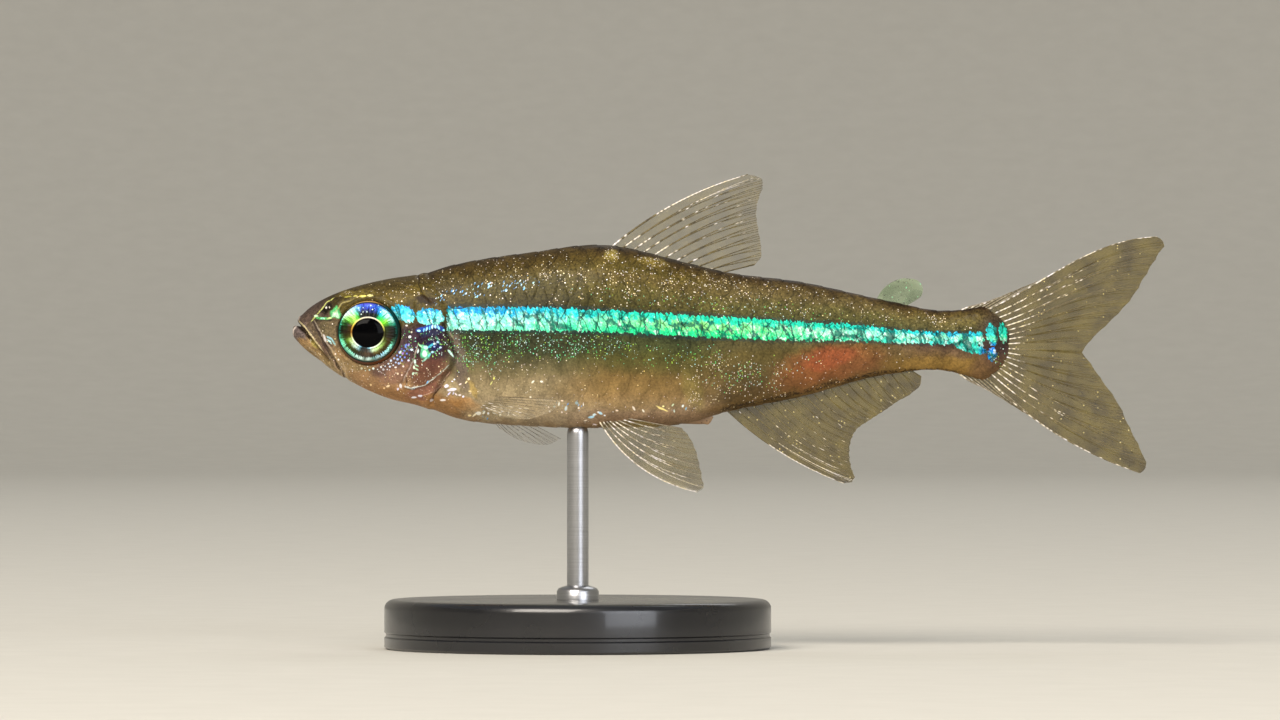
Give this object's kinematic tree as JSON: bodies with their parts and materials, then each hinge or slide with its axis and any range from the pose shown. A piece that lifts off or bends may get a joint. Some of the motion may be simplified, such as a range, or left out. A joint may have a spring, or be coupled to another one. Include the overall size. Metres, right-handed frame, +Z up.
{
  "type": "green neon tetra",
  "caption": "Life-size model of a green neon tetra swimming level, with a forked tail and a small adipose fin, held by a rod on a round base.",
  "frame": {"origin": "middle of the bounding box on the table under the stand", "axes": "+X from the snout towards the tail, +Z up, -Y out of the left flank"},
  "size_m": [0.0282, 0.0126, 0.0153],
  "materials": {
    "scaled_skin": "olive and silver scales with a blue-green neon stripe",
    "eye": "clear cornea over a green and blue iris with a black pupil",
    "fin_web": "translucent olive membrane with brown rays",
    "stand_base": "black lacquer",
    "stand_rod": "fine brushed"
  },
  "bodies": {
    "root": {"head": "scaled_skin", "lower_jaw": "scaled_skin", "gill_cover_left": "scaled_skin", "gill_cover_right": "scaled_skin", "trunk": "scaled_skin", "tail": "scaled_skin", "eye_left": "eye", "eye_right": "eye", "dorsal_fin": "fin_web", "adipose_fin": "fin_web", "anal_fin": "fin_web", "caudal_fin_upper": "fin_web", "caudal_fin_lower": "fin_web", "pelvic_fin_left": "fin_web", "pelvic_fin_right": "fin_web", "pectoral_fin_left": "fin_web", "pectoral_fin_right": "fin_web", "stand_base": "stand_base", "stand_rod": "stand_rod"}
  },
  "joints": []
}
